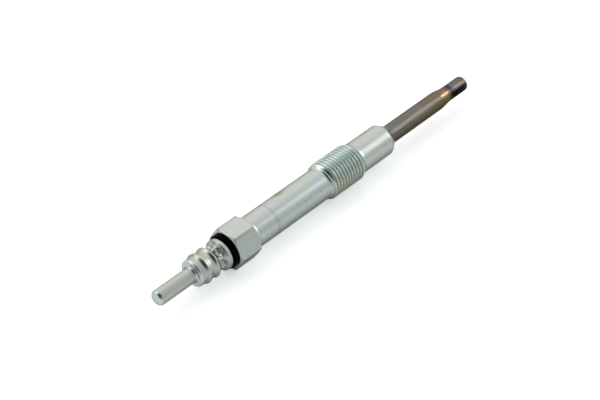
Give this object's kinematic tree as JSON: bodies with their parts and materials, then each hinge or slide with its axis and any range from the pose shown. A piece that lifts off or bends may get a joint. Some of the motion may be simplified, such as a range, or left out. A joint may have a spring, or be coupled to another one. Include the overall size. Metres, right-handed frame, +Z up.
{
  "type": "diesel glow plug",
  "caption": "Pencil glow plug for a diesel engine: hexagon body with long plain shank, fine thread and conical seat, thin closed heater tube, ridged crimped terminal with a round pin",
  "frame": {"origin": "Bottom centre of the bounding box: halfway along the plug, under its axis, on the surface that it lies on", "axes": "+X along the plug's axis from the terminal pin towards the heater tip, +Z up, square to the flat of the hexagon that the plug lies on, +Y sideways"},
  "size_m": [0.1118, 0.0114, 0.01],
  "materials": {
    "zinc_plated_steel": "satin zinc plate with a faint green and blue passivation",
    "bright_plated_steel": "bright turned and plated",
    "black_moulding": "glossy black",
    "seal_rubber": "matt",
    "heat_tinted_alloy": "dark satin nickel alloy with heat tints towards the tip",
    "tube_seal_rubber": "matt",
    "heating_wire": "drawn wire",
    "regulating_wire": "drawn wire",
    "pressed_powder": "matt pressed magnesium oxide",
    "plain_steel": "drawn rod"
  },
  "bodies": {
    "root": {"plug_body": "zinc_plated_steel", "terminal_pin": "bright_plated_steel", "insulating_disc": "black_moulding", "body_seal": "seal_rubber", "glow_tube": "heat_tinted_alloy", "tube_seal": "tube_seal_rubber", "heating_coil": "heating_wire", "regulating_coil": "regulating_wire", "insulating_powder": "pressed_powder", "centre_pole": "plain_steel"}
  },
  "joints": []
}
